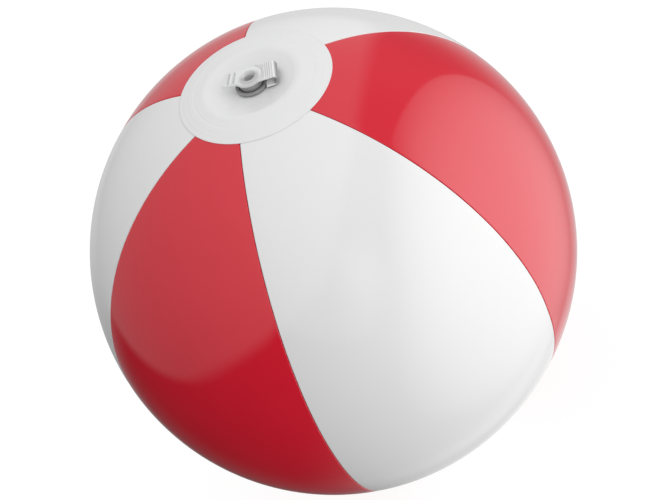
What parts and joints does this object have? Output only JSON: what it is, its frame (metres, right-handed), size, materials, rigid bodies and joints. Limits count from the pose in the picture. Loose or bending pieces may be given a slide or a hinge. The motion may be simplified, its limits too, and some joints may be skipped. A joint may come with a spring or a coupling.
{
  "type": "inflatable beach ball",
  "caption": "Inflated vinyl beach ball with alternating red and white gores, round end patches and a tethered plug valve that presses in and opens.",
  "frame": {"origin": "centre of the inflated ball", "axes": "+Z out through the middle of the valve, +X to the right and -Y towards the side that is seen when the big white gore faces the viewer"},
  "size_m": [0.2544, 0.2544, 0.2576],
  "materials": {
    "red_pvc": "glossy film",
    "white_pvc": "glossy film",
    "patch_pvc": "milky film with an embossed weld band",
    "clear_pvc": "clear moulded"
  },
  "bodies": {
    "ball": {"gore_white_1": "white_pvc", "gore_red_1": "red_pvc", "gore_white_2": "white_pvc", "gore_red_2": "red_pvc", "gore_white_3": "white_pvc", "gore_red_3": "red_pvc", "valve_patch": "patch_pvc", "base_patch": "patch_pvc"},
    "valve": {"valve_stem": "clear_pvc", "tether": "clear_pvc"},
    "plug": {"plug": "clear_pvc"},
    "flap": {"check_flap": "clear_pvc"}
  },
  "joints": [
    {"name": "valve_press", "type": "slide", "parent": "ball", "child": "valve", "axis": [0, 0, -1], "range_m": [0, 0.007], "deforming": ["valve_patch"]},
    {"name": "plug_pull", "type": "slide", "parent": "valve", "child": "plug", "axis": [0, 0, 1], "range_m": [0, 0.009], "deforming": ["tether"]},
    {"name": "flap_hinge", "type": "hinge", "parent": "valve", "child": "flap", "pos_m": [0, 0.0064, 0.1073], "axis": [1, 0, 0], "range_deg": [0, 60], "stiffness_Nm_per_rad": 0.0005, "springref_deg": -8.59}
  ]
}
